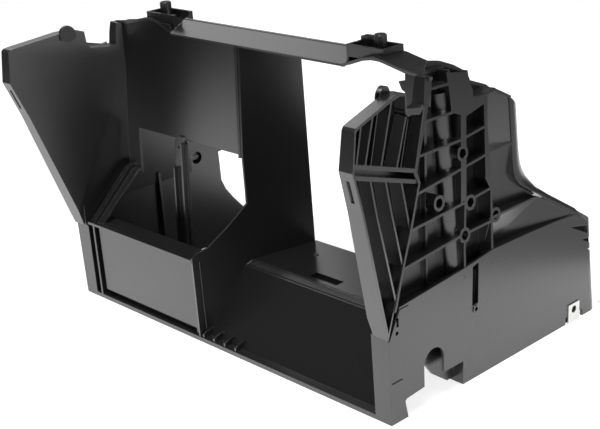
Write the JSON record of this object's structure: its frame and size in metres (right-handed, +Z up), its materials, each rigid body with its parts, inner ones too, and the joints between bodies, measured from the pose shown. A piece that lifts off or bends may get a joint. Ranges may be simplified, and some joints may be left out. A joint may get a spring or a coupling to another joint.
{
  "type": "lawn mower rear cover",
  "caption": "Moulded rear cover of a ride-on lawn mower with a grass tunnel, a battery bay, two ribbed ears, a rear fender and screw bosses on top.",
  "frame": {"origin": "under the middle of the overall box, on the plane that the cover stands on", "axes": "+X towards the side with the long fender, across the mower; +Y away from the side with the ears, along the mower; +Z up"},
  "size_m": [0.55, 0.3828, 0.337],
  "materials": {
    "black_plastic": "satin moulded",
    "zinc": "zinc plated"
  },
  "bodies": {
    "root": {"rear_cover": "black_plastic", "clip_nut": "zinc"}
  },
  "joints": []
}
